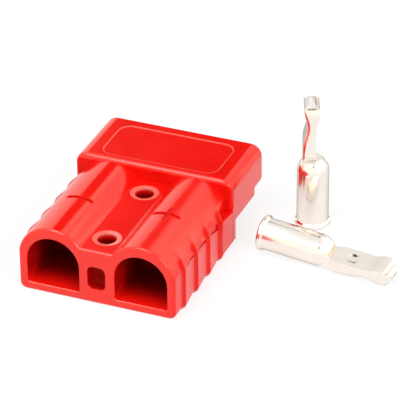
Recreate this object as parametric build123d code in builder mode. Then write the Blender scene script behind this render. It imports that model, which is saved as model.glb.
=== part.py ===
from build123d import *

import os
from math import asin, atan, cos, degrees, radians, sin

# Genderless two-pole power connector, in millimetres.
# A red housing carries two leaf springs; its two crimp contacts are taken out and lie beside it.
# The origin is midway between the two mounting holes, in the plane of the flat base.
# +Y points to the mating end, +Z up and +X to the side of the positive pole.

# Housing, overall
length = 47.9
hood_back = 1.75
hood_lap = 0.6
hood_rise = 0.55
mating_depth = 15.5

# Mounting holes through the floor of the channel
hole_r = 2.07
hole_inset = 6.0
hole_pitch = 19.85
dish_r = 3.2
dish_angle = 160

# Body: two barrels over a flat base
barrel_r = 7.9
barrel_pitch = 19.8
barrel_z = 7.85
side_flat = 0.15
channel_z = 12.65
channel_corner = 0.3
wall_blend = 3.0
base_corner = 1.5
end_round = 0.7

# Wire entries, contact bores and the passages to the mating end
entry_wall = 2.05
entry_floor = 1.95
entry_z = 7.4
entry_depth = 14.0
entry_round = 0.5
bore_end = 29.5
bore_gap = 0.27
passage_top = 9.6
passage_gap = 0.2

# Recess in the web between the wire entries
recess_width = 4.1
recess_bottom = 3.7
recess_top = 8.65
recess_arch = 0.45
recess_depth = 2.9

# Side ribs: saw teeth that sweep up over the barrels
crest_inset = 4.85
crest_pitch = 6.75
crest_count = 4
tooth_height = 0.5
tooth_ramp = 1.2
tooth_fade = 5.3
tooth_root = 14.0
tooth_sink = 0.05
foot_angle = 40.7
sweep_r = 5.75
sweep_z = 8.7
sweep_angle = 62
block_top = 9.8
block_bottom = 1.65

# Slots that part the lower half of each rib from its sweep
ledge_z = 10.0
ledge_depth = 0.35
ledge_drops = (0.4, 0.75, 1.7)
ledge_start = 0.15
pocket_top = 12.05
pocket_depth = 1.75
pocket_floor_front = 9.05

# Hood and jaw: the hood of one connector closes over the jaw of its mate
hood_wall = 1.4
hood_corner = 2.6
hood_back_round = 0.9
hood_roof = 2.6
mating_drop = 0.05
mating_gap = 0.05
jaw_gap = 0.25
jaw_rise = 0.35
jaw_corner = 1.0
skirt_round = 0.6
slot_floor = 4.45
slot_lip = 1.3
slot_gap = 0.3

# Recessed panel in the top of the hood
panel_length = 13.15
panel_side = 4.85
panel_front = 2.2
panel_corner = 2.8
panel_depth = 0.18

# Crimp contact: axis from its mouth, mating face on the +X side of its own frame
rim_r = 3.88
rim_length = 0.9
rim_round = 0.3
shell_r = 3.5
shell_length = 12.9
dome_length = 3.3
dome_r = 1.95
dome_bulge = 0.8
wire_r = 2.85
wire_depth = 12.0
mouth_flare = 0.4
contact_length = 30.7
tongue_width = 6.6
tongue_face = 0.44
tongue_back = 2.36
tongue_round = 0.9
neck_width = 4.8
neck_length = 2.4
waist_back = 1.45
waist_start_inset = 10.7
waist_inset = 5.5
bulge_inset = 6.1
head_face = 1.26
head_back = 2.15
head_inset = 2.7
heel_inset = 1.9
nose_r = 3.1
nose_crease = 0.2
dimple_r = 1.9
dimple_depth = 0.22
dimple_inset = 9.6

# Places of the two contacts, measured from the middle of the housing's rear face
standing_x = 30.3
standing_in = 47.35
standing_turn = 22.0
lying_x = 24.33
lying_in = 32.5
lying_turn = -2.8
rest_gap = 0.03

# Leaf springs
spring_width = 6.2
spring_thickness = 0.5
spring_bow = 0.45
spring_end_gap = 0.25
spring_set = 0.04

# Stations along the housing
rear_y = -(hole_inset + hole_pitch / 2)
front_y = rear_y + length
shoulder_y = front_y - mating_depth
hood_length = mating_depth + hood_back
hood_y = front_y - hood_length
entry_y = rear_y + entry_depth
bore_y = rear_y + bore_end
slot_y = front_y - slot_lip
barrel_x = barrel_pitch / 2
entry_r = barrel_r - entry_wall
side_x = barrel_x + barrel_r - side_flat
crest_x = side_x + tooth_height
foot_x = side_x - tooth_sink
foot_r = foot_x - barrel_x
foot_start = degrees(asin((sweep_z - barrel_z) / foot_r))
hood_x = side_x + hood_lap
hood_z = barrel_z + barrel_r + hood_rise
roof_z = hood_z - hood_roof
mating_z = hood_z / 2 - mating_drop
jaw_bottom = 2 * mating_z - roof_z + jaw_rise
skirt_x = hood_x - hood_wall
jaw_x = skirt_x - jaw_gap
skirt_z = mating_z + mating_gap
jaw_z = mating_z - mating_gap
bore_r = rim_r + bore_gap
bore_z = slot_floor + spring_thickness + spring_bow + tongue_back - spring_set
passage_width = tongue_width + 2 * passage_gap
slot_width = tongue_width + 2 * slot_gap
crests = [rear_y + crest_inset + crest_pitch * k for k in range(crest_count)]
dome_end = shell_length + dome_length
waist_start = contact_length - waist_start_inset
waist_at = contact_length - waist_inset
bulge_at = contact_length - bulge_inset
head_at = contact_length - head_inset
heel_at = contact_length - heel_inset
dimple_at = contact_length - dimple_inset
beyond = 1.0
near = 0.01


def station(y):
    """Plane across the housing at y, with its x along X and its y along Z."""
    return Plane.XZ.offset(-y)


with BuildPart() as housing:
    # Hood, with its rounded top edges
    with BuildSketch(station(hood_y)):
        with Locations((0, (skirt_z + hood_z) / 2)):
            Rectangle(2 * hood_x, hood_z - skirt_z)
    extrude(amount=-hood_length)
    along = housing.edges().filter_by(Axis.Y)
    fillet(along.group_by(Axis.Z)[-1], hood_corner)
    hood_back = housing.faces().sort_by(Axis.Y)[0]
    fillet(hood_back.edges().sort_by(Axis.Z)[1:], hood_back_round)

    # Room under the hood for the jaw of the mate
    with BuildSketch(station(shoulder_y)):
        with Locations((0, (skirt_z + roof_z) / 2 - beyond / 2)):
            Rectangle(2 * skirt_x, roof_z - skirt_z + beyond)
    extrude(amount=-(mating_depth + beyond), mode=Mode.SUBTRACT)
    skirt_tips = housing.edges().filter_by(Axis.X).group_by(Axis.Z)[0].group_by(Axis.Y)[-1]
    fillet(skirt_tips, skirt_round)

    # Body: two arches over a flat base, joined by the channel
    with BuildSketch(station(rear_y)) as body_outline:
        with Locations((-barrel_x, barrel_z), (barrel_x, barrel_z)):
            Circle(barrel_r)
        with Locations((0, channel_z / 2)):
            Rectangle(barrel_pitch, channel_z)
        with Locations((0, barrel_z / 2)):
            Rectangle(2 * side_x, barrel_z)
        with Locations((0, hood_z / 2)):
            Rectangle(2 * side_x, hood_z, mode=Mode.INTERSECT)
        corners = body_outline.vertices()
        fillet(corners.group_by(Axis.Y)[0], base_corner)
        valley = corners.filter_by_position(Axis.Y, channel_z - near, channel_z + near)
        fillet(valley, channel_corner)
        walls = corners.filter_by_position(Axis.Y, barrel_z + near, channel_z - near)
        fillet(walls, wall_blend)
    extrude(amount=-(shoulder_y - rear_y))
    fillet(housing.edges().group_by(Axis.Y)[0], end_round)

    # Jaw that enters the hood of the mate
    with BuildSketch(station(shoulder_y - beyond)) as jaw_outline:
        with Locations((0, (jaw_bottom + jaw_z) / 2)):
            Rectangle(2 * jaw_x, jaw_z - jaw_bottom)
        fillet(jaw_outline.vertices().group_by(Axis.Y)[0], jaw_corner)
    extrude(amount=-(mating_depth + beyond))

    # Saw teeth along both sides, each one a wall that leans out and sweeps over its barrel
    foot = (foot_x, (barrel_x, barrel_z), foot_r, foot_start, foot_angle)
    crest = (crest_x, (crest_x - sweep_r, sweep_z), sweep_r, 0, sweep_angle)
    for crest_y in crests:
        ramp = ((crest_y - tooth_ramp, foot), (crest_y, crest), (crest_y + tooth_fade, foot))
        for y, (x_out, centre, radius, start, turn) in ramp:
            with BuildSketch(station(y)):
                with BuildLine():
                    sweep_arc = CenterArc(centre, radius, start, turn)
                    wall = Line((x_out, base_corner), sweep_arc @ 0)
                    heel = RadiusArc((x_out - base_corner, 0), wall @ 0, -base_corner)
                    Polyline(heel @ 0, (tooth_root, 0), (tooth_root, sweep_z), sweep_arc @ 1)
                make_face()
        tooth = loft(ruled=True)
        mirror(tooth, about=Plane.YZ)

    # Thick block on each side below the rear of the hood, raised a little off the base
    with BuildSketch(Plane.XY.offset(block_bottom)):
        with BuildLine():
            Polyline(
                (tooth_root, crests[-1] - tooth_ramp),
                (side_x, crests[-1] - tooth_ramp),
                (hood_x, crests[-1]),
                (hood_x, shoulder_y),
                (tooth_root, shoulder_y),
                close=True,
            )
        make_face()
        mirror(about=Plane.YZ)
    extrude(amount=block_top - block_bottom)

    # Thin slots between the lower wall of each rib and its sweep, and a pocket before the hood
    for side in (-1, 1):
        for crest_y, drop in zip(crests, ledge_drops):
            ramp_y = crest_y + crest_pitch - tooth_ramp
            with BuildSketch(Plane.YZ.offset(side * (side_x - ledge_depth))):
                with BuildLine():
                    Polyline(
                        (crest_y + ledge_start, ledge_z),
                        (ramp_y, ledge_z),
                        (ramp_y, ledge_z - drop),
                        close=True,
                    )
                make_face()
            extrude(amount=side * (ledge_depth + tooth_height + beyond), mode=Mode.SUBTRACT)
        with BuildSketch(Plane.YZ.offset(side * (hood_x - pocket_depth))):
            with BuildLine():
                Polyline(
                    (crests[-1] + ledge_start, block_top),
                    (hood_y, pocket_floor_front),
                    (hood_y, pocket_top),
                    (crests[-1] + ledge_start, pocket_top),
                    close=True,
                )
            make_face()
        extrude(amount=side * (pocket_depth + beyond), mode=Mode.SUBTRACT)

    # Wire entries, arched over a flat floor, with rounded mouths
    with BuildSketch(station(rear_y)) as entry_outline:
        with Locations((-barrel_x, entry_z), (barrel_x, entry_z)):
            Circle(entry_r)
        with Locations(
            (-barrel_x, (entry_floor + entry_z) / 2), (barrel_x, (entry_floor + entry_z) / 2)
        ):
            Rectangle(2 * entry_r, entry_z - entry_floor)
        fillet(entry_outline.vertices().group_by(Axis.Y)[0], entry_round)
    extrude(amount=-entry_depth, mode=Mode.SUBTRACT)
    rear_face = housing.faces().sort_by(Axis.Y)[0]
    mouth_edges = [edge for wire in rear_face.inner_wires() for edge in wire.edges()]
    fillet(mouth_edges, entry_round)

    # Round bores for the contacts, and flat passages for their tongues
    with BuildSketch(station(entry_y - beyond)):
        with Locations((-barrel_x, bore_z), (barrel_x, bore_z)):
            Circle(bore_r)
    extrude(amount=-(bore_y - entry_y + beyond), mode=Mode.SUBTRACT)
    with BuildSketch(station(bore_y - beyond)):
        passage_middle = (slot_floor + passage_top) / 2
        with Locations((-barrel_x, passage_middle), (barrel_x, passage_middle)):
            Rectangle(passage_width, passage_top - slot_floor)
    extrude(amount=-(shoulder_y - bore_y + 2 * beyond), mode=Mode.SUBTRACT)

    # Slots in the jaw, each with a lip at its front
    with BuildSketch(Plane.XY.offset(slot_floor)):
        slot_middle = (shoulder_y + slot_y) / 2
        with Locations((-barrel_x, slot_middle), (barrel_x, slot_middle)):
            Rectangle(slot_width, slot_y - shoulder_y)
    extrude(amount=jaw_z - slot_floor + beyond, mode=Mode.SUBTRACT)

    # Mounting holes, each in a shallow dish
    with Locations(Plane.XY.offset(channel_z)):
        with GridLocations(dish_r, hole_pitch, 1, 2):
            CounterSinkHole(hole_r, dish_r, counter_sink_angle=dish_angle)

    # Blind recess in the web, with arched ends
    with BuildSketch(station(rear_y)):
        with BuildLine():
            half = recess_width / 2
            ThreePointArc((-half, recess_top), (0, recess_top + recess_arch), (half, recess_top))
            Line((half, recess_top), (half, recess_bottom))
            ThreePointArc((half, recess_bottom), (0, recess_bottom - recess_arch), (-half, recess_bottom))
            Line((-half, recess_bottom), (-half, recess_top))
        make_face()
    extrude(amount=-recess_depth, mode=Mode.SUBTRACT)

    # Shallow panel in the top of the hood
    with BuildSketch(Plane.XY.offset(hood_z)):
        with Locations((0, front_y - panel_front - panel_length / 2)):
            RectangleRounded(2 * (hood_x - panel_side), panel_length, panel_corner)
    extrude(amount=-panel_depth, mode=Mode.SUBTRACT)


with BuildPart() as contact:
    # Tongue: side profile with a waist and a rounded head, its back edges eased
    with BuildSketch(Plane.XZ):
        with BuildLine():
            nose = ((head_face - head_back) / 2, contact_length)
            face = Line((tongue_face, wire_depth), (tongue_face, bulge_at))
            rise = Spline(face @ 1, (head_face, head_at), tangents=((0, 1), (0, 1)))
            Spline(rise @ 1, nose, tangents=((0, 1), (-1, nose_crease)))
            chin = Spline(nose, (-head_back, heel_at), tangents=((-1, -nose_crease), (0, -1)))
            neck = Spline(chin @ 1, (-waist_back, waist_at), tangents=((0, -1), (0, -1)))
            fall = Spline(neck @ 1, (-tongue_back, waist_start), tangents=((0, -1), (0, -1)))
            Polyline(fall @ 1, (-tongue_back, wire_depth), face @ 0)
        make_face()
    extrude(amount=tongue_width / 2, both=True)
    rims = contact.edges().filter_by(lambda edge: abs(edge.center().Y) > tongue_width / 2 - near)
    backs = rims.filter_by(lambda edge: edge.center().X < nose[0] - near)
    fillet(backs.filter_by(lambda edge: edge.center().Z > wire_depth), tongue_round)

    # Plan of the tongue: a narrow neck that flares to full width, and a round nose
    with BuildSketch(Plane.YZ) as tongue_plan:
        with BuildLine():
            flare_top = dome_end + neck_length
            side_line = Line((tongue_width / 2, contact_length), (tongue_width / 2, flare_top))
            flare = Spline(
                side_line @ 1,
                (neck_width / 2, dome_end - neck_length / 4),
                tangents=((0, -1), (0, -1)),
            )
            Polyline(flare @ 1, (neck_width / 2, wire_depth), (0, wire_depth))
            Line((0, contact_length), side_line @ 0)
            mirror(about=Plane.YZ)
        make_face()
        fillet(tongue_plan.vertices().group_by(Axis.Y)[-1], nose_r)
    extrude(amount=rim_r, both=True, mode=Mode.INTERSECT)

    # Crimp shell with its flared rim and closed dome
    with BuildSketch(Plane.XZ):
        with BuildLine():
            Polyline(
                (0, 0),
                (rim_r - rim_round, 0),
                (rim_r, rim_round),
                (rim_r, rim_length),
                (shell_r, rim_length + rim_r - shell_r),
                (shell_r, shell_length),
            )
            dome_middle = (
                (shell_r + dome_r + dome_bulge) / 2,
                (shell_length + dome_end) / 2 + dome_bulge / 4,
            )
            ThreePointArc((shell_r, shell_length), dome_middle, (dome_r, dome_end))
            Polyline((dome_r, dome_end), (0, dome_end), (0, 0))
        make_face()
    revolve(axis=Axis.Z)

    # Wire bore with an eased mouth
    with BuildSketch(Plane.XZ):
        with BuildLine():
            Polyline(
                (0, 0),
                (wire_r + mouth_flare, 0),
                (wire_r, mouth_flare),
                (wire_r, wire_depth),
                (0, wire_depth),
                close=True,
            )
        make_face()
    revolve(axis=Axis.Z, mode=Mode.SUBTRACT)

    # Round dimple in the mating face
    ball_r = (dimple_r**2 + dimple_depth**2) / (2 * dimple_depth)
    with Locations((tongue_face + ball_r - dimple_depth, 0, dimple_at)):
        Sphere(ball_r, mode=Mode.SUBTRACT)

with BuildPart() as contact_standing:
    turn = radians(standing_turn)
    upright = Plane(
        origin=(standing_x, rear_y + standing_in, 0),
        x_dir=(cos(turn), sin(turn), 0),
        z_dir=(0, 0, 1),
    )
    with Locations(upright):
        add(contact.part)

with BuildPart() as contact_lying:
    # The end of the shell and the back of the head rest on the same ground
    tilt = atan((shell_r - head_back) / (heel_at - shell_length))
    rest_z = rest_gap + shell_length * sin(tilt) + shell_r * cos(tilt)
    heading = radians(lying_turn)
    axis_dir = Vector(cos(heading) * cos(tilt), sin(heading) * cos(tilt), -sin(tilt))
    face_dir = Vector(cos(heading) * sin(tilt), sin(heading) * sin(tilt), cos(tilt))
    laid = Plane(
        origin=(lying_x, rear_y + lying_in, rest_z),
        x_dir=face_dir,
        z_dir=axis_dir,
    )
    with Locations(laid):
        add(contact.part)


with BuildPart() as leaf_spring_left:
    # Thin strip in the jaw slot, bowed upwards between its two ends
    back = bore_y + spring_end_gap
    front = slot_y - spring_end_gap
    with BuildSketch(Plane.YZ.offset(-barrel_x)):
        with BuildLine():
            ThreePointArc(
                (back, slot_floor),
                ((back + front) / 2, slot_floor + spring_bow),
                (front, slot_floor),
            )
            offset(amount=spring_thickness, side=Side.LEFT)
        make_face()
    extrude(amount=spring_width / 2, both=True)

with BuildPart() as leaf_spring_right:
    mirror(leaf_spring_left.part, about=Plane.YZ)

housing.part.label = "housing"
leaf_spring_left.part.label = "leaf_spring_left"
leaf_spring_right.part.label = "leaf_spring_right"
contact_standing.part.label = "contact_standing"
contact_lying.part.label = "contact_lying"

os.makedirs("parts", exist_ok=True)
export_step(housing.part, "parts/housing.step")
export_step(leaf_spring_left.part, "parts/leaf_spring_left.step")
export_step(leaf_spring_right.part, "parts/leaf_spring_right.step")
export_step(contact_standing.part, "parts/contact_standing.step")
export_step(contact_lying.part, "parts/contact_lying.step")
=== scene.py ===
# %% [markdown]
# # A two-pole genderless power connector
# The housing is one moulding of glossy red plastic. Its two silver-plated contacts have not been
# pushed in yet: one stands on its wire mouth beside the housing, the other lies in front of it.
# The solid model already has every size, so it is loaded first and is never moved or reshaped.
# Blender's work is what the solids leave out: a few roundings, the two signs in the plastic, the
# finishes and the light. All lengths are in metres, as in the solid model.

# %% Load the solid model as a fixed frame
import bpy
import math
from mathutils import Matrix, Vector


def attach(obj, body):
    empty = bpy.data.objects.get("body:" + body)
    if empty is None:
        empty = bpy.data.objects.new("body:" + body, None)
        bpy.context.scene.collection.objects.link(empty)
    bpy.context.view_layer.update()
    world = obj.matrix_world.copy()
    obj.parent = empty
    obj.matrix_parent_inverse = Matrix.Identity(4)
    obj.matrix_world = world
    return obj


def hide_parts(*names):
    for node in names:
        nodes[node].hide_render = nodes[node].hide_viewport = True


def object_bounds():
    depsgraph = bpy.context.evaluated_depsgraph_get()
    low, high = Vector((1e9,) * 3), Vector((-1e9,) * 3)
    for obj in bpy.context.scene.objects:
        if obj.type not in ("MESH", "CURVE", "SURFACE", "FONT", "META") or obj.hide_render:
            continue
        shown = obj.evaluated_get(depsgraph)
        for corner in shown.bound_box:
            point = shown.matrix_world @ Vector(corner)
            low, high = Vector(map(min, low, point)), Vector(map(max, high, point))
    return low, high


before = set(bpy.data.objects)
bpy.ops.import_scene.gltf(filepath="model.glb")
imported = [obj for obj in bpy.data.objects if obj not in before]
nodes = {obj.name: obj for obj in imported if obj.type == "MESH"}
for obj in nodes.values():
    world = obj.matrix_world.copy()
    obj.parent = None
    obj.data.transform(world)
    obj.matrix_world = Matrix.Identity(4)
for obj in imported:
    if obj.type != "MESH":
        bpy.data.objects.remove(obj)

cad_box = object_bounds()
print("solid model:", sorted(nodes))
print("its box in metres:", [[round(v, 5) for v in corner] for corner in cad_box])

# %% [markdown]
# ## Looking at it
# The photograph is taken from the right of the wire end and from above, with a long lens, so that
# parallel edges stay almost parallel. A camera is three directions and a place. Writing the
# directions from two angles keeps them readable: one round the connector, one above the table.

# %% Camera
VIEW_ROUND = math.radians(22.18)
VIEW_UP = math.radians(30.928)
VIEW_ROLL = math.radians(-0.354)
VIEW_PLACE = Vector((0.2113, -0.47265, 0.3243))
NEAREST_SEEN = 0.01
SENSOR = 36.0
LENS = 248.78

towards = Vector((math.sin(VIEW_ROUND) * math.cos(VIEW_UP),
                  -math.cos(VIEW_ROUND) * math.cos(VIEW_UP), math.sin(VIEW_UP)))
level = Vector((math.cos(VIEW_ROUND), math.sin(VIEW_ROUND), 0.0))
upright = towards.cross(level)
across = level * math.cos(VIEW_ROLL) + upright * math.sin(VIEW_ROLL)
upwards = upright * math.cos(VIEW_ROLL) - level * math.sin(VIEW_ROLL)

camera_data = bpy.data.cameras.new("camera")
camera_data.lens = LENS
camera_data.sensor_width = SENSOR
camera_data.clip_start = NEAREST_SEEN
camera = bpy.data.objects.new("camera", camera_data)
bpy.context.scene.collection.objects.link(camera)
turn = Matrix((across, upwards, towards)).transposed().to_4x4()
camera.matrix_world = Matrix.Translation(VIEW_PLACE) @ turn
bpy.context.scene.camera = camera
bpy.context.scene.view_settings.view_transform = "Standard"
print("camera", round(VIEW_PLACE.length, 3), "m from the connector, lens", LENS, "mm")

# %% [markdown]
# ## Small tools
# Node trees are easier to read when one line makes one node, with its values and its links.

# %% Helpers for nodes
def node(tree, kind, **values):
    """Add a node, setting its properties and its inputs by name."""
    made = tree.nodes.new(kind)
    for name, value in values.items():
        if hasattr(made, name):
            setattr(made, name, value)
        else:
            made.inputs[name.replace("_", " ")].default_value = value
    return made


def linked(tree, kind, sources, **values):
    """Add a node and link the given outputs to its first inputs; None leaves an input alone."""
    made = node(tree, kind, **values)
    for place, source in enumerate(sources):
        if source is not None:
            tree.links.new(source, made.inputs[place])
    return made.outputs[0]


def empty_material(name):
    """A material with nothing but its output node."""
    made = bpy.data.materials.new(name)
    made.use_nodes = True
    made.node_tree.nodes.clear()
    out = made.node_tree.nodes.new("ShaderNodeOutputMaterial")
    return made, made.node_tree, out


print("node tools ready")

# %% [markdown]
# Many looks here depend on a kind of light, a direction or a place. They are worked out with a
# little arithmetic on numbers, and a step between two levels is always a smooth one.

# %% Helpers for arithmetic
def math_of(tree, operation, first, second=None):
    """One step of arithmetic; each side is a socket or a number."""
    step = node(tree, "ShaderNodeMath", operation=operation)
    for place, side in enumerate((first, second)):
        if isinstance(side, (int, float)):
            step.inputs[place].default_value = side
        elif side is not None:
            tree.links.new(side, step.inputs[place])
    return step.outputs[0]


def product(tree, first, *others):
    """All of the given numbers multiplied."""
    for other in others:
        first = math_of(tree, "MULTIPLY", first, other)
    return first


def largest(tree, first, *others):
    """The largest of the given numbers."""
    for other in others:
        first = math_of(tree, "MAXIMUM", first, other)
    return first


def from_to(tree, value, start, end, low=0.0, high=1.0):
    """A smooth step: low where the value is at start, high where it is at end."""
    ramp = node(tree, "ShaderNodeMapRange", interpolation_type="SMOOTHSTEP")
    ramp.inputs["From Min"].default_value = start
    ramp.inputs["From Max"].default_value = end
    ramp.inputs["To Min"].default_value = low
    ramp.inputs["To Max"].default_value = high
    tree.links.new(value, ramp.inputs["Value"])
    return ramp.outputs[0]


print("arithmetic tools ready")

# %% [markdown]
# ## The table
# A plain white table runs out of the picture on all sides. To the camera and to mirror
# reflections most of its white is its own glow and only about a fifth is lit, which leaves the
# object the faint shadow of a product photograph. All other light meets plain white paint.
# Everything is deselected before an operator runs, because an operator acts on all that is
# selected.

# %% Floor
FLOOR_HALF = 1.5
FLOOR_PAINT = 0.8
FLOOR_SEEN_LIT = 0.22
FLOOR_GLOW = 0.79
FLOOR_GAP = 0.00002

bpy.ops.object.select_all(action="DESELECT")
bpy.ops.mesh.primitive_plane_add(size=2 * FLOOR_HALF, location=(0.0, 0.0, -FLOOR_GAP))
floor = bpy.context.object
floor.name = "floor"

white, tree, out = empty_material("white_table")
paths = node(tree, "ShaderNodeLightPath").outputs
mirrored = largest(tree, paths["Is Camera Ray"], paths["Is Glossy Ray"])
paint = from_to(tree, mirrored, 0.0, 1.0, low=FLOOR_PAINT, high=FLOOR_SEEN_LIT)
matt = linked(tree, "ShaderNodeBsdfDiffuse", [paint])
glow = linked(tree, "ShaderNodeEmission", [None, product(tree, mirrored, FLOOR_GLOW)])
tree.links.new(linked(tree, "ShaderNodeAddShader", [matt, glow]), out.inputs["Surface"])
floor.data.materials.append(white)
print("floor at z =", round(floor.location.z, 5))

# %% [markdown]
# ## The light
# Gloss shows whatever stands round it. The photograph's barrels show pale sides and one deep red
# stripe along the crest, and its level faces show no shine at all. That asks for one dark stand
# behind the table, between white walls. The metal asks for a bright soft box overhead on the left,
# with a thin dark frame, and for a dark camera. The room is made of these patches in the world's
# colour, by direction, for mirror reflections only. The camera itself sees plain white.
#
# Each patch is a mask: a number that is 1 where something holds and 0 elsewhere, with a soft edge
# between. An edge is a pair of values with the lower one first.

# %% The room: directions
world = bpy.data.worlds.new("studio")
bpy.context.scene.world = world
world.use_nodes = True
tree = world.node_tree
tree.nodes.clear()
out = tree.nodes.new("ShaderNodeOutputWorld")
outwards = node(tree, "ShaderNodeTexCoord").outputs["Generated"]
ray = linked(tree, "ShaderNodeSeparateXYZ", [outwards]).node.outputs
to_right = math_of(tree, "ARCTAN2", ray["X"], ray["Y"])
to_top = math_of(tree, "ARCSINE", ray["Z"])


def under(tree, value, edge):
    """1 where a value is under an edge."""
    return from_to(tree, value, edge[1], edge[0])


def room_patch(right, half_right, top, half_top, soft):
    """1 inside a patch of the room, given by its middle and half sizes in degrees, else 0."""
    shares = []
    for angle, middle, half in ((to_right, right, half_right), (to_top, top, half_top)):
        off = math_of(tree, "ABSOLUTE", math_of(tree, "SUBTRACT", angle, math.radians(middle)))
        edge = (math.radians(half - soft / 2), math.radians(half + soft / 2))
        shares.append(under(tree, off, edge))
    return product(tree, *shares)


print("directions run to the right from +Y and up from level")

# %% [markdown]
# The patches are laid over the plain walls one after another, so the dark stand comes last. A
# value over 1 is brighter than white and keeps a reflection pale even where little of it returns.

# %% The room: what stands in it
PLAIN_WHITE = (1.0, 1.0, 1.0, 1.0)
ROOM_LIGHT = 0.55
ROOM_WALLS = (1.32, 1.22, 1.10, 1.0)
RIGHT_WALL = (1.68, 1.60, 1.36, 1.0)
SOFT_BOX = (1.45, 1.58, 1.75, 1.0)
FRAME_BLACK = (0.05, 0.05, 0.055, 1.0)
STAND_BLACK = (0.02, 0.02, 0.02, 1.0)

# Each patch: its colour, then in degrees its middle and half width, its middle and half height,
# and the width of its soft edge.
ROOM_PATCHES = (
    (RIGHT_WALL, 62.0, 60.0, 40.0, 50.0, 20.0),
    (SOFT_BOX, -100.0, 70.0, 62.0, 27.0, 4.0),
    (FRAME_BLACK, -60.0, 60.0, 66.0, 1.0, 1.6),
    (FRAME_BLACK, 158.0, 5.0, 42.0, 7.0, 5.0),
    (STAND_BLACK, -15.8, 10.3, 35.0, 28.0, 3.0),
)


def colour_mix(tree, share, below, above):
    """Lay a plain colour over another by a share."""
    mix = node(tree, "ShaderNodeMix", data_type="RGBA")
    tree.links.new(share, mix.inputs["Factor"])
    tree.links.new(below, mix.inputs[6])
    mix.inputs[7].default_value = above
    return mix.outputs[2]


seen = node(tree, "ShaderNodeRGB").outputs[0]
seen.default_value = ROOM_WALLS
for colour, *patch in ROOM_PATCHES:
    seen = colour_mix(tree, room_patch(*patch), seen, colour)
shine = linked(tree, "ShaderNodeBackground", [seen])
plain = linked(tree, "ShaderNodeBackground", [], Color=PLAIN_WHITE, Strength=ROOM_LIGHT)
backdrop = linked(tree, "ShaderNodeBackground", [], Color=PLAIN_WHITE, Strength=1.0)
paths = node(tree, "ShaderNodeLightPath").outputs
for_gloss = linked(tree, "ShaderNodeMixShader", [paths["Is Glossy Ray"], plain, shine])
for_camera = linked(tree, "ShaderNodeMixShader", [paths["Is Camera Ray"], for_gloss, backdrop])
tree.links.new(for_camera, out.inputs["Surface"])
print("room light", ROOM_LIGHT, "with", len(ROOM_PATCHES), "patches")

# %% [markdown]
# The contacts look as if they were lit apart from the housing: their level faces are pale where
# the housing's are deep red, while every dent in them shows a dark line. Two narrow white cards
# behind them do that, one for the lying barrel and one for the tongue, and one above keeps their
# tops from burning out. Only mirror reflections see them.

# %% White cards round the contacts
CARD_WHITE = 0.97
CARD_Y = 0.085
UPRIGHT = math.pi / 2
LYING = 0.0

card_white, tree, out = empty_material("card_white")
glow = linked(tree, "ShaderNodeEmission", [], Strength=CARD_WHITE)
tree.links.new(glow, out.inputs["Surface"])


def white_card(name, width, height, place, tilt):
    """A card that only mirror reflections see, tilted up from lying level."""
    bpy.ops.object.select_all(action="DESELECT")
    bpy.ops.mesh.primitive_plane_add(size=1.0, location=place, rotation=(tilt, 0.0, 0.0))
    card = bpy.context.object
    card.name = name
    card.dimensions = (width, height, 0.0)
    card.visible_camera = False
    card.visible_diffuse = False
    card.visible_shadow = False
    card.visible_transmission = False
    card.data.materials.append(card_white)
    print(name, "at", place)


white_card("card_barrel", width=0.0165, height=0.115, place=(0.01025, CARD_Y, 0.0575), tilt=UPRIGHT)
white_card("card_tongue", width=0.0395, height=0.052, place=(0.03825, CARD_Y, 0.054), tilt=UPRIGHT)
white_card("card_over", width=0.085, height=0.12, place=(0.0375, 0.02, 0.12), tilt=LYING)

# %% [markdown]
# Two wide soft lamps give the shape its gentle shading: one high over the wire end and one lower
# from the right. They are large for their distance, so their shadows have no hard edge.

# %% Lamps
LAMP_AIM = Vector((0.0, 0.0, 0.01))


def soft_lamp(name, place, size, power):
    """A square lamp at a place, turned to face the connector."""
    data = bpy.data.lights.new(name, "AREA")
    data.shape = "SQUARE"
    data.size = size
    data.energy = power
    lamp = bpy.data.objects.new(name, data)
    bpy.context.scene.collection.objects.link(lamp)
    facing = (LAMP_AIM - Vector(place)).to_track_quat("-Z", "Y")
    lamp.matrix_world = Matrix.Translation(place) @ facing.to_matrix().to_4x4()
    print(name, "gives", power, "W from", place)


soft_lamp("lamp_over", (-0.15, -0.35, 0.85), size=0.6, power=4.6)
soft_lamp("lamp_right", (0.75, -0.45, 0.5), size=0.5, power=3.6)

# %% [markdown]
# ## Red housing plastic
# The plastic is a glossy moulding: one strong red, a very slightly uneven gloss and a faint
# orange peel. Some places look different, and each gets a mask from where it lies in the solid's
# own frame: X to the side, Y towards the mating end, Z up from the base. The masks are gathered
# in three numbers: one for painted shade (a deeper red), one for dull places (gloss lost) and one
# for painted highlights (a lighter red).

# %% Red plastic: where a point is
BARREL_PITCH = 0.0198
BARREL_X = BARREL_PITCH / 2
BARREL_Z = 0.00785


def length_of(tree, first, second):
    """The length of a flat vector."""
    both = math_of(tree, "ADD", product(tree, first, first), product(tree, second, second))
    return math_of(tree, "SQRT", both)


red_plastic, tree, out = empty_material("red_plastic")
coords = node(tree, "ShaderNodeTexCoord").outputs["Object"]
place = linked(tree, "ShaderNodeSeparateXYZ", [coords]).node.outputs
aside = math_of(tree, "ABSOLUTE", place["X"])
off_middle = math_of(tree, "ABSOLUTE", place["Y"])
off_axis = math_of(tree, "SUBTRACT", aside, BARREL_X)
over_axis = largest(tree, math_of(tree, "SUBTRACT", place["Z"], BARREL_Z), 0.0)
from_axis = length_of(tree, off_axis, over_axis)
print(red_plastic.name, "knows each point's place and its distance from a barrel's axis")

# %% [markdown]
# Deep inside the wire entries and the recess hardly any light arrives, and the plastic there
# looks dull. So it is a darker red without gloss. The place is told by distance: from the barrel's
# axis for the entries, from the middle plane for the web, where the screw holes are too. Places
# along the housing are counted from its rear end, where the box round the solids starts.

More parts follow.
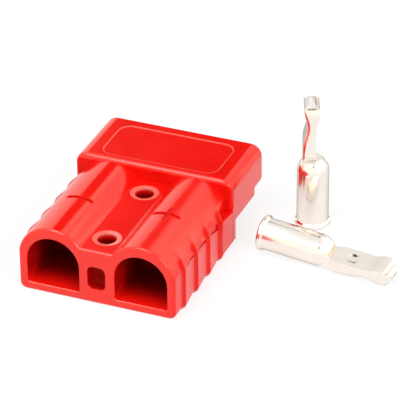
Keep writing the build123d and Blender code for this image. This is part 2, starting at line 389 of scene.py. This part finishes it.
# %% Red plastic: inside the openings
REAR_Y = round(cad_box[0][1], 6)
ENTRY_EDGE = (0.0060, 0.0062)
WEB_SIDE = (0.0022, 0.0024)
WEB_TOP = (0.0108, 0.0119)
OVER_BASE = (0.0008, 0.0012)
MOUTH_Y = REAR_Y + 0.000175
PAST_MOUTH = (MOUTH_Y, MOUTH_Y + 0.0004)
BEFORE_JAW = (0.0115, 0.0140)
DARK_Y = REAR_Y + 0.008425
OVER_FLOOR = (0.002, 0.0045)
DARK_OVER_FLOOR = 0.7
DARK_IN_WEB = 0.75


def over(tree, value, edge):
    """1 where a value is over an edge."""
    return from_to(tree, value, edge[0], edge[1])


def between(tree, value, lower, upper):
    """1 where a value is between two edges."""
    return product(tree, over(tree, value, lower), under(tree, value, upper))


in_entry = under(tree, from_axis, ENTRY_EDGE)
in_web = product(tree, under(tree, aside, WEB_SIDE), under(tree, place["Z"], WEB_TOP))
inside = product(tree, largest(tree, in_entry, in_web), over(tree, place["Z"], OVER_BASE),
                 between(tree, place["Y"], PAST_MOUTH, BEFORE_JAW))
by_depth = from_to(tree, place["Y"], MOUTH_Y, DARK_Y)
by_height = from_to(tree, place["Z"], *OVER_FLOOR, high=DARK_OVER_FLOOR)
deepest = largest(tree, by_depth, by_height, product(tree, in_web, DARK_IN_WEB))
painted_shade = product(tree, inside, deepest)
dull = inside
print("openings are darkest from y =", round(DARK_Y, 6))

# %% [markdown]
# The step up to the hood lies in its own shade, and so does the end of the channel before it. Both
# lose some gloss and a little of their light.

# %% Red plastic: the shade under the hood's edge
HOOD_BACK_Y = REAR_Y + 0.030645
STEP_TOP = (0.0150, 0.0153)
STEP_START = (HOOD_BACK_Y - 0.0002, HOOD_BACK_Y - 0.00005)
STEP_END = (HOOD_BACK_Y + 0.0002, HOOD_BACK_Y + 0.0004)
CHANNEL_START = (0.0105, HOOD_BACK_Y)
CHANNEL_SIDE = (0.0048, 0.0060)
CHANNEL_FLOOR = (0.0120, 0.0124)
SHADE_DARK = 0.16
SHADE_DULL = 0.8

on_step = between(tree, place["Y"], STEP_START, STEP_END)
channel_end = product(tree, between(tree, place["Y"], CHANNEL_START, STEP_END),
                      under(tree, aside, CHANNEL_SIDE), over(tree, place["Z"], CHANNEL_FLOOR))
shaded = product(tree, largest(tree, on_step, channel_end), under(tree, place["Z"], STEP_TOP))
painted_shade = largest(tree, painted_shade, product(tree, shaded, SHADE_DARK))
dull = largest(tree, dull, product(tree, shaded, SHADE_DULL))
print("step at y =", round(HOOD_BACK_Y, 6))

# %% [markdown]
# Each dish gets a painted reflection, a pale ring, and a painted highlight runs as a pale line round
# the panel in the hood, where its rounded edge catches the light. Both are drawn by distance too:
# from a hole's axis, and from a rounded rectangle.

# %% Red plastic: painted highlights on the rings and the panel's line
HOLE_PITCH = 0.01985
HOLE_Y = HOLE_PITCH / 2
RING_EDGE = (0.0030, 0.0032)
DISH_FLOOR = (0.0119, 0.0122)
PANEL_HALF_X = 0.0134
PANEL_HALF_Y = 0.006575
PANEL_Y = HOOD_BACK_Y + 0.00848
PANEL_CORNER = 0.0028
LINE_EDGE = (0.000066, 0.000176)
HOOD_TOP = (0.0155, 0.0158)
LINE_HIGHLIGHT = 0.8


def past(tree, value, start):
    """How far a value is past a start; 0 before it."""
    return largest(tree, math_of(tree, "SUBTRACT", value, start), 0.0)


from_hole = length_of(tree, place["X"], math_of(tree, "SUBTRACT", off_middle, HOLE_Y))
ring = product(tree, under(tree, from_hole, RING_EDGE), over(tree, place["Z"], DISH_FLOOR))
from_panel = math_of(tree, "ABSOLUTE", math_of(tree, "SUBTRACT", place["Y"], PANEL_Y))
round_corner = length_of(tree, past(tree, aside, PANEL_HALF_X - PANEL_CORNER),
                         past(tree, from_panel, PANEL_HALF_Y - PANEL_CORNER))
from_line = math_of(tree, "ABSOLUTE", math_of(tree, "SUBTRACT", round_corner, PANEL_CORNER))
line = product(tree, under(tree, from_line, LINE_EDGE), over(tree, place["Z"], HOOD_TOP))
# Painted highlights: the pale rings and the panel's pale line are a lighter red.
painted_highlight = largest(tree, ring, product(tree, line, LINE_HIGHLIGHT))
print("rings round the holes at y =", -HOLE_Y, "and", HOLE_Y)

# %% [markdown]
# The floors of the two signs get painted shade: a darker red with less gloss. Nothing else lies just
# under the barrels' skin there, so a band of distances from the barrel's axis picks them out.

# %% Red plastic: painted shade in the signs
SKIN_START = (0.0071, 0.0072)
SKIN_END = (0.00776, 0.00786)
SIGN_REACH = (0.0045, 0.0047)
SIGN_BOTTOM = (0.0137, 0.0139)
SIGN_SHADE_DARK = 0.28
SIGN_SHADE_DULL = 0.84

in_sign = product(tree, between(tree, from_axis, SKIN_START, SKIN_END),
                  under(tree, off_middle, SIGN_REACH), over(tree, place["Z"], SIGN_BOTTOM))
# Painted shade in the floors of the signs: a darker red and less gloss.
painted_shade = largest(tree, painted_shade, product(tree, in_sign, SIGN_SHADE_DARK))
dull = largest(tree, dull, product(tree, in_sign, SIGN_SHADE_DULL))
print("signs reach y =", SIGN_REACH[0])

# %% [markdown]
# The short slopes that lead up to the side ribs face the viewer and get painted shade: a deeper red
# and less gloss than the long slopes behind them. The ribs repeat, so the place along their row
# is taken as a share of one step.

# %% Red plastic: painted shade on the short slopes of the ribs
RIB_STEP = 0.00675
FIRST_RIB_Y = REAR_Y + 0.00485
LAST_RIB_Y = FIRST_RIB_Y + 3 * RIB_STEP
PAST_RIBS = (LAST_RIB_Y, LAST_RIB_Y + 0.0002)
SLOPE_START = (0.76, 0.82)
SLOPE_END = (0.97, 1.0)
SLOPE_SIDE = (0.0164, 0.0170)
SLOPE_SHADE_DARK = 0.12
SLOPE_SHADE_DULL = 0.8

steps = math_of(tree, "DIVIDE", math_of(tree, "SUBTRACT", place["Y"], FIRST_RIB_Y), RIB_STEP)
share_of_step = math_of(tree, "FRACT", steps)
slope = product(tree, between(tree, share_of_step, SLOPE_START, SLOPE_END),
                over(tree, aside, SLOPE_SIDE), under(tree, place["Y"], PAST_RIBS))
# Painted shade on the short slopes: a darker red and less gloss.
painted_shade = largest(tree, painted_shade, product(tree, slope, SLOPE_SHADE_DARK))
dull = largest(tree, dull, product(tree, slope, SLOPE_SHADE_DULL))
print("ribs every", RIB_STEP)

# %% [markdown]
# No real surface has one flat colour and one gloss. A cloudy noise moves both a little, and a
# finer one roughens the surface. Real edges are never sharp either, so light also catches them.

# %% Helpers for uneven surfaces
CLOUD_LOW = 0.3
CLOUD_HIGH = 0.7
CLOUD_ROUGHNESS = 0.6
EDGE_SAMPLES = 8


def noise(tree, coords, size, detail=4.0):
    """Cloudy noise whose features have one real size, in metres."""
    cloud = node(tree, "ShaderNodeTexNoise", Scale=1.0 / size, Detail=detail, Roughness=CLOUD_ROUGHNESS)
    tree.links.new(coords, cloud.inputs["Vector"])
    return cloud.outputs[0]


def two_colours(tree, cloud, first, second):
    """A colour between two near ones, picked by a noise."""
    ramp = node(tree, "ShaderNodeValToRGB")
    ramp.color_ramp.elements[0].position = CLOUD_LOW
    ramp.color_ramp.elements[0].color = first
    ramp.color_ramp.elements[1].position = CLOUD_HIGH
    ramp.color_ramp.elements[1].color = second
    tree.links.new(cloud, ramp.inputs[0])
    return ramp.outputs[0]


def between_levels(tree, cloud, low, high):
    """A number between two levels, picked by a noise."""
    level = node(tree, "ShaderNodeMapRange")
    level.inputs["From Min"].default_value = CLOUD_LOW
    level.inputs["From Max"].default_value = CLOUD_HIGH
    level.inputs["To Min"].default_value = low
    level.inputs["To Max"].default_value = high
    tree.links.new(cloud, level.inputs["Value"])
    return level.outputs[0]


def grained(tree, height, strength, depth, edge):
    """A bumped normal over edges that are eased by a small radius."""
    eased = node(tree, "ShaderNodeBevel", samples=EDGE_SAMPLES, Radius=edge)
    bump = node(tree, "ShaderNodeBump", Strength=strength, Distance=depth)
    tree.links.new(height, bump.inputs["Height"])
    tree.links.new(eased.outputs[0], bump.inputs["Normal"])
    return bump.outputs[0]


print("surface tools ready")

# %% [markdown]
# The shader puts it together. The sides have less gloss than the top, and the right barrel is a
# little more satin than the left. The reflections have a warm tint.

# %% Red plastic: the shader
RED_DEEP = (0.85, 0.0065, 0.0032, 1.0)
RED_FULL = (0.92, 0.0082, 0.0040, 1.0)
RED_HIGHLIGHT = (0.95, 0.17, 0.13, 1.0)
RED_SHADED = (0.26, 0.0010, 0.0008, 1.0)
RED_SHINE = (1.0, 1.0, 0.84, 1.0)
RED_REFRACTION = 1.585
GLOSS_FULL = 0.5
GLOSS_LOST = 0.03
ON_SIDE = (0.0165, 0.0174)
SIDE_DULL = 0.35
RIGHT_BARREL = (0.004, 0.011)
BARREL_END = (0.0120, 0.0150)
SATIN_ADDED = 0.12
RED_ROUGH = (0.11, 0.17)
CLOUD_SIZE = 0.011
PEEL_SIZE = 0.0011
PEEL_DEPTH = 0.00003
RED_ROUNDING = 0.00011

shader = node(tree, "ShaderNodeBsdfPrincipled", IOR=RED_REFRACTION, Specular_Tint=RED_SHINE)
cloud = noise(tree, coords, CLOUD_SIZE)
orange_peel = noise(tree, coords, PEEL_SIZE, detail=2.0)
colour = two_colours(tree, cloud, RED_DEEP, RED_FULL)
# Painted highlights and painted shade are laid over the red as a lighter and a darker red.
colour = colour_mix(tree, painted_highlight, colour, RED_HIGHLIGHT)
colour = colour_mix(tree, painted_shade, colour, RED_SHADED)
tree.links.new(colour, shader.inputs["Base Color"])

dull = largest(tree, dull, from_to(tree, aside, *ON_SIDE, high=SIDE_DULL))
gloss = from_to(tree, dull, 0.0, 1.0, low=GLOSS_FULL, high=GLOSS_LOST)
tree.links.new(gloss, shader.inputs["Specular IOR Level"])
satin = product(tree, from_to(tree, place["X"], *RIGHT_BARREL, high=SATIN_ADDED),
                under(tree, place["Y"], BARREL_END))
roughness = math_of(tree, "ADD", between_levels(tree, cloud, *RED_ROUGH), satin)
tree.links.new(roughness, shader.inputs["Roughness"])
grain = grained(tree, orange_peel, strength=0.10, depth=PEEL_DEPTH, edge=RED_ROUNDING)
tree.links.new(grain, shader.inputs["Normal"])
tree.links.new(shader.outputs[0], out.inputs["Surface"])
print("material", red_plastic.name)

# %% [markdown]
# ## Silver plating
# The contacts are copper under a thin layer of silver: almost a mirror, a little warm, with a fine
# satin grain and a cloudy haze. The colour moves between two near whites, and the roughness
# follows the same cloud. At grazing angles the metal shines less white.

# %% Material: silver plating
SILVER_DULL = (0.89, 0.81, 0.74, 1.0)
SILVER_BRIGHT = (0.95, 0.88, 0.81, 1.0)
SILVER_GRAZING = (0.55, 0.51, 0.49, 1.0)
SILVER_ROUGH = (0.10, 0.20)
HAZE_SIZE = 0.006
SATIN_SIZE = 0.0007
SATIN_DEPTH = 0.00002
SILVER_ROUNDING = 0.0001

silver_plate, tree, out = empty_material("silver_plate")
coords = node(tree, "ShaderNodeTexCoord").outputs["Object"]
shader = node(tree, "ShaderNodeBsdfPrincipled", Metallic=1.0, Specular_Tint=SILVER_GRAZING)
haze = noise(tree, coords, HAZE_SIZE, detail=5.0)
satin = noise(tree, coords, SATIN_SIZE, detail=3.0)
grain = grained(tree, satin, strength=0.08, depth=SATIN_DEPTH, edge=SILVER_ROUNDING)
tree.links.new(two_colours(tree, haze, SILVER_DULL, SILVER_BRIGHT), shader.inputs["Base Color"])
tree.links.new(between_levels(tree, haze, *SILVER_ROUGH), shader.inputs["Roughness"])
tree.links.new(grain, shader.inputs["Normal"])
tree.links.new(shader.outputs[0], out.inputs["Surface"])
print("material", silver_plate.name)

# %% [markdown]
# ## Spring steel
# The two leaf springs inside the housing are rolled strip: grey, with fine rolling lines along
# their length. A noise stretched along that length gives the lines.

# %% Material: spring steel
STEEL_DARK = (0.42, 0.41, 0.40, 1.0)
STEEL_PALE = (0.62, 0.61, 0.59, 1.0)
STEEL_ROUGH = (0.25, 0.45)
STRETCH = (30.0, 1.0, 30.0)
ROLLING_SIZE = 0.006
ROLLING_DEPTH = 0.00002
STEEL_ROUNDING = 0.00008

spring_steel, tree, out = empty_material("spring_steel")
coords = node(tree, "ShaderNodeTexCoord").outputs["Object"]
stretched = linked(tree, "ShaderNodeMapping", [coords], Scale=STRETCH)
shader = node(tree, "ShaderNodeBsdfPrincipled", Metallic=1.0)
rolling = noise(tree, stretched, ROLLING_SIZE, detail=3.0)
grain = grained(tree, rolling, strength=0.2, depth=ROLLING_DEPTH, edge=STEEL_ROUNDING)
tree.links.new(two_colours(tree, rolling, STEEL_DARK, STEEL_PALE), shader.inputs["Base Color"])
tree.links.new(between_levels(tree, rolling, *STEEL_ROUGH), shader.inputs["Roughness"])
tree.links.new(grain, shader.inputs["Normal"])
tree.links.new(shader.outputs[0], out.inputs["Surface"])
print("material", spring_steel.name)

# %% [markdown]
# ## The moulded housing
# The solid has the whole form. It leaves out the two polarity signs, which are sunk into the
# barrels, and it needs two small mends: the floors of the wire entries and the recess between
# them. A copy of the solid's mesh is closed up first, because it comes as loose triangles.

# %% Copy the housing and close it
MERGE_WITHIN = 0.000002
LEVEL_WITHIN = math.radians(0.2)


def only(obj):
    """Select one object alone and make it the active one."""
    bpy.ops.object.select_all(action="DESELECT")
    obj.select_set(True)
    bpy.context.view_layer.objects.active = obj
    return obj


def closed_copy(name, node_name, finish):
    """A copy of a solid's mesh with its points merged and its level faces whole."""
    piece = bpy.data.objects.new(name, nodes[node_name].data.copy())
    bpy.context.scene.collection.objects.link(piece)
    only(piece)
    bpy.ops.mesh.customdata_custom_splitnormals_clear()
    bpy.ops.object.mode_set(mode="EDIT")
    bpy.ops.mesh.select_all(action="SELECT")
    bpy.ops.mesh.remove_doubles(threshold=MERGE_WITHIN)
    bpy.ops.mesh.dissolve_limited(angle_limit=LEVEL_WITHIN)
    bpy.ops.object.mode_set(mode="OBJECT")
    piece.data.materials.clear()
    piece.data.materials.append(finish)
    return piece


housing = closed_copy("housing_moulding", "housing", red_plastic)
print("housing:", len(housing.data.polygons), "faces")

# %% [markdown]
# The next changes all work in the same way: a simple block or strip is made, some of its edges are
# rounded, and it is joined to the housing or cut from it.

# %% Helpers for shapes
def merge_with(piece, other, operation):
    """Cut another mesh from a piece or join it to it, and take the other away."""
    only(piece)
    change = piece.modifiers.new("change", "BOOLEAN")
    change.operation = operation
    change.solver = "MANIFOLD"
    change.object = other
    bpy.ops.object.modifier_apply(modifier=change.name)
    bpy.data.objects.remove(other)


def block(size, place):
    """A block by its size and middle."""
    bpy.ops.object.select_all(action="DESELECT")
    bpy.ops.mesh.primitive_cube_add(size=1.0, location=(0.0, 0.0, 0.0))
    made = only(bpy.context.object)
    made.scale = size
    made.location = place
    bpy.ops.object.transform_apply(location=True, rotation=True, scale=True)
    return made


def bevel_where(piece, is_chosen, offset, segments):
    """Bevel the edges whose two points pass a test."""
    bpy.ops.object.mode_set(mode="EDIT")
    bpy.ops.mesh.select_all(action="DESELECT")
    bpy.ops.object.mode_set(mode="OBJECT")
    for edge in piece.data.edges:
        first, second = (piece.data.vertices[i].co for i in edge.vertices)
        edge.select = is_chosen(first, second)
    bpy.ops.object.mode_set(mode="EDIT")
    bpy.ops.mesh.select_mode(type="EDGE")
    bpy.ops.mesh.bevel(offset=offset, segments=segments, affect="EDGES")
    bpy.ops.mesh.select_mode(type="VERT")
    bpy.ops.object.mode_set(mode="OBJECT")


print("shape tools ready")

# %% [markdown]
# The floor of each wire entry is level on the real part. The solid's floor dips a little along its
# middle, so a bar is laid into the dip. Its front edge is rounded like the mouth's own edge.

# %% Level the floors of the wire entries
BAR_WIDTH = 0.0050
BAR_LENGTH = 0.0135
BAR_HEIGHT = 0.0008
FLOOR_TOP = 0.00195
MOUTH_ROUND = 0.0005
MOUTH_SEGMENTS = 7
TINY = 0.000001


def is_front_top(first, second):
    """True for the edge of a bar that shows in the mouth."""
    at_front = max(first.y, second.y) < REAR_Y + TINY
    return at_front and min(first.z, second.z) > FLOOR_TOP - TINY


for side in (-1, 1):
    middle = (side * BARREL_X, REAR_Y + BAR_LENGTH / 2, FLOOR_TOP - BAR_HEIGHT / 2)
    bar = block((BAR_WIDTH, BAR_LENGTH, BAR_HEIGHT), middle)
    bevel_where(bar, is_front_top, MOUTH_ROUND, MOUTH_SEGMENTS)
    merge_with(housing, bar, "UNION")
print("housing:", len(housing.data.polygons), "faces after levelling")

# %% [markdown]
# The recess between the entries has well rounded corners. It is filled, and cut again with a block
# whose four edges that run into the housing are rounded. The block reaches as far out of the
# housing as into it, so that it cuts cleanly.

# %% Round the recess in the web
FILL_SIZE = (0.0052, 0.0032, 0.0066)
RECESS_WIDTH = 0.0041
RECESS_DEPTH = 0.0029
RECESS_HEIGHT = 0.0054
RECESS_MID_Z = 0.0062
RECESS_CORNER = 0.0013
RECESS_SEGMENTS = 8


def runs_inwards(first, second):
    """True for an edge that runs into the housing."""
    return abs(first.y - second.y) > RECESS_DEPTH


fill = block(FILL_SIZE, (0.0, REAR_Y + FILL_SIZE[1] / 2, RECESS_MID_Z))
merge_with(housing, fill, "UNION")
recess = block((RECESS_WIDTH, 2 * RECESS_DEPTH, RECESS_HEIGHT), (0.0, REAR_Y, RECESS_MID_Z))
bevel_where(recess, runs_inwards, RECESS_CORNER, RECESS_SEGMENTS)
merge_with(housing, recess, "DIFFERENCE")
print("housing:", len(housing.data.polygons), "faces with the recess")

# %% [markdown]
# A sign's bar is a strip that follows the barrel. A small plane, as long as the strip is wide and
# reaching from its floor to above the barrel's skin, is spun about the barrel's axis. Its four
# corner edges are then rounded, as a round tool leaves them in a mould.

# %% Cutters for the signs
BARREL_R = 0.0079
MARK_WIDTH = 0.0011
MARK_DEPTH = 0.00035
MARK_ROUND = 0.46 * MARK_WIDTH
MARK_SEGMENTS = 6
CUT_HEIGHT = 0.0012
SPIN_STEPS = 20
SPIN_MERGE = 0.0000005
END_WITHIN = 0.2
LEVEL_Y = 0.0000001


def bar_round_barrel(name, barrel_x, start, end, at_y):
    """A strip round a barrel between two angles, in degrees from +X."""
    bpy.ops.object.select_all(action="DESELECT")
    bpy.ops.mesh.primitive_plane_add(size=1.0, location=(0.0, 0.0, 0.0))
    bar = only(bpy.context.object)
    bar.name = name
    swept = end - start
    bpy.ops.object.mode_set(mode="EDIT")
    bpy.ops.mesh.select_all(action="SELECT")
    bpy.ops.transform.resize(value=(CUT_HEIGHT, MARK_WIDTH, 1.0))
    bpy.ops.transform.translate(value=(BARREL_R - MARK_DEPTH + CUT_HEIGHT / 2, 0.0, 0.0))
    bpy.ops.mesh.spin(steps=SPIN_STEPS, angle=math.radians(swept),
                      center=(0.0, 0.0, 0.0), axis=(0.0, 1.0, 0.0))
    bpy.ops.mesh.select_all(action="SELECT")
    bpy.ops.mesh.remove_doubles(threshold=SPIN_MERGE)
    bpy.ops.mesh.normals_make_consistent(inside=False)
    bpy.ops.object.mode_set(mode="OBJECT")

    def is_corner(first, second):
        angles = [abs(math.degrees(math.atan2(point.z, point.x))) for point in (first, second)]
        at_end = max(angles) < END_WITHIN or min(angles) > swept - END_WITHIN
        return at_end and abs(first.y - second.y) < LEVEL_Y

    bevel_where(bar, is_corner, MARK_ROUND, MARK_SEGMENTS)
    bar.rotation_euler = (0.0, -math.radians(start), 0.0)
    bar.location = (barrel_x, at_y, BARREL_Z)
    bpy.ops.object.transform_apply(location=True, rotation=True, scale=True)
    return bar


def bar_along_barrel(name, barrel_x, start_y, end_y):
    """A straight strip along the top of a barrel."""
    middle_z = BARREL_Z + BARREL_R - MARK_DEPTH + CUT_HEIGHT / 2
    bar = block((MARK_WIDTH, end_y - start_y, CUT_HEIGHT), (barrel_x, (start_y + end_y) / 2, middle_z))
    bar.name = name

    def is_upright(first, second):
        return abs(first.z - second.z) > CUT_HEIGHT / 2

    bevel_where(bar, is_upright, MARK_ROUND, MARK_SEGMENTS)
    return bar


cutters = [
    bar_round_barrel("minus", -BARREL_X, start=66.0, end=113.0, at_y=-0.0016),
    bar_round_barrel("plus_across", BARREL_X, start=68.0, end=116.0, at_y=-0.0010),
    bar_along_barrel("plus_along", BARREL_X, start_y=-0.0036, end_y=0.0021),
]
for cutter in cutters:
    print(cutter.name, "has", len(cutter.data.polygons), "faces")

# %% [markdown]
# The cutters are taken from the housing one by one. Then curves are shaded smooth, level faces
# keep their own direction, and the moulding takes the place of its solid.

# %% Cut the signs and shade the housing
SMOOTH_UP_TO = math.radians(30)
MOST_WEIGHT = 100


def shade_and_hand_over(piece, node_name):
    """Shade a finished piece smooth round its curves and let it stand for its solid."""
    only(piece)
    bpy.ops.object.shade_smooth_by_angle(angle=SMOOTH_UP_TO)
    level_faces = piece.modifiers.new("level_faces", "WEIGHTED_NORMAL")
    level_faces.weight = MOST_WEIGHT
    level_faces.keep_sharp = True
    bpy.ops.object.modifier_apply(modifier=level_faces.name)
    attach(piece, "root")
    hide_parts(node_name)


for cutter in cutters:
    merge_with(housing, cutter, "DIFFERENCE")
shade_and_hand_over(housing, "housing")

# %% [markdown]
# ## Contacts
# The stamped head of a contact has a rounded end, which the solid leaves square. Two corners are
# cut from a copy of each contact. A corner cutter is a block with a cylinder taken out of it. It is
# made once at the origin and then turned to the contact, whose own directions are found from its
# two largest level faces: the broad face of the tongue and its side.

# %% Round the heads of the contacts
HEAD_ROUND = 0.0014
HEAD_END = 0.0005
CUTTER_WIDTH = 0.012
CUTTER_SPARE = 0.0004
CUTTER_SIDES = 96
ALMOST_SQUARE = 0.2
SQUARE = 0.02


def corner_cutter(turned):
    """The stuff outside a rounded corner, with its arc's middle at the origin, then turned."""
    size = HEAD_ROUND + CUTTER_SPARE
    corner = block((size, CUTTER_WIDTH, size), (size / 2, 0.0, size / 2))
    bpy.ops.object.select_all(action="DESELECT")
    bpy.ops.mesh.primitive_cylinder_add(vertices=CUTTER_SIDES, radius=HEAD_ROUND,
                                        depth=2 * CUTTER_WIDTH, location=(0.0, 0.0, 0.0),
                                        rotation=(math.pi / 2, 0.0, 0.0))
    core = only(bpy.context.object)
    bpy.ops.object.transform_apply(location=True, rotation=True, scale=True)
    merge_with(corner, core, "DIFFERENCE")
    corner.matrix_world = turned
    only(corner)
    bpy.ops.object.transform_apply(location=True, rotation=True, scale=True)
    return corner


def contact_directions(piece, towards_head):
    """Directions through the tongue, across it, and along it to the head."""
    faces = sorted(piece.data.polygons, key=lambda face: -face.area)
    normals = [face.normal.copy() for face in faces]
    lengthwise = [normal for normal in normals if abs(normal.dot(towards_head)) < ALMOST_SQUARE]
    through = lengthwise[0]
    side = next(normal for normal in lengthwise if abs(normal.dot(through)) < SQUARE)
    along = through.cross(side).normalized()
    if along.dot(towards_head) < 0:
        along.negate()
    return through, along.cross(through), along


def round_head(piece, towards_head):
    """Round the two corners at the end of a contact's head."""
    through, across_tongue, along = contact_directions(piece, towards_head)
    points = [vertex.co.copy() for vertex in piece.data.vertices]
    end = max(point.dot(along) for point in points)
    last = [point for point in points if point.dot(along) > end - HEAD_END]
    middle = sum(point.dot(across_tongue) for point in last) / len(last)
    for sign in (1, -1):
        edge = max(sign * point.dot(through) for point in last)
        turned = Matrix((sign * through, sign * across_tongue, along)).transposed().to_4x4()
        turned.translation = (sign * (edge - HEAD_ROUND) * through + middle * across_tongue
                              + (end - HEAD_ROUND) * along)
        merge_with(piece, corner_cutter(turned), "DIFFERENCE")
    print(piece.name, "is rounded", round(end * 1000, 2), "mm along", [round(v, 3) for v in along])


standing = closed_copy("contact_standing_plated", "contact_standing", silver_plate)
round_head(standing, Vector((0.0, 0.0, 1.0)))
lying = closed_copy("contact_lying_plated", "contact_lying", silver_plate)
round_head(lying, Vector((1.0, 0.0, 0.0)))
shade_and_hand_over(standing, "contact_standing")
shade_and_hand_over(lying, "contact_lying")

# %% [markdown]
# ## Springs
# Their solids have the right shape, so they stay and only get their finish.

# %% Finish for the springs
for name in ("leaf_spring_left", "leaf_spring_right"):
    nodes[name].data.materials.clear()
    nodes[name].data.materials.append(spring_steel)
    print(name, "has", spring_steel.name)
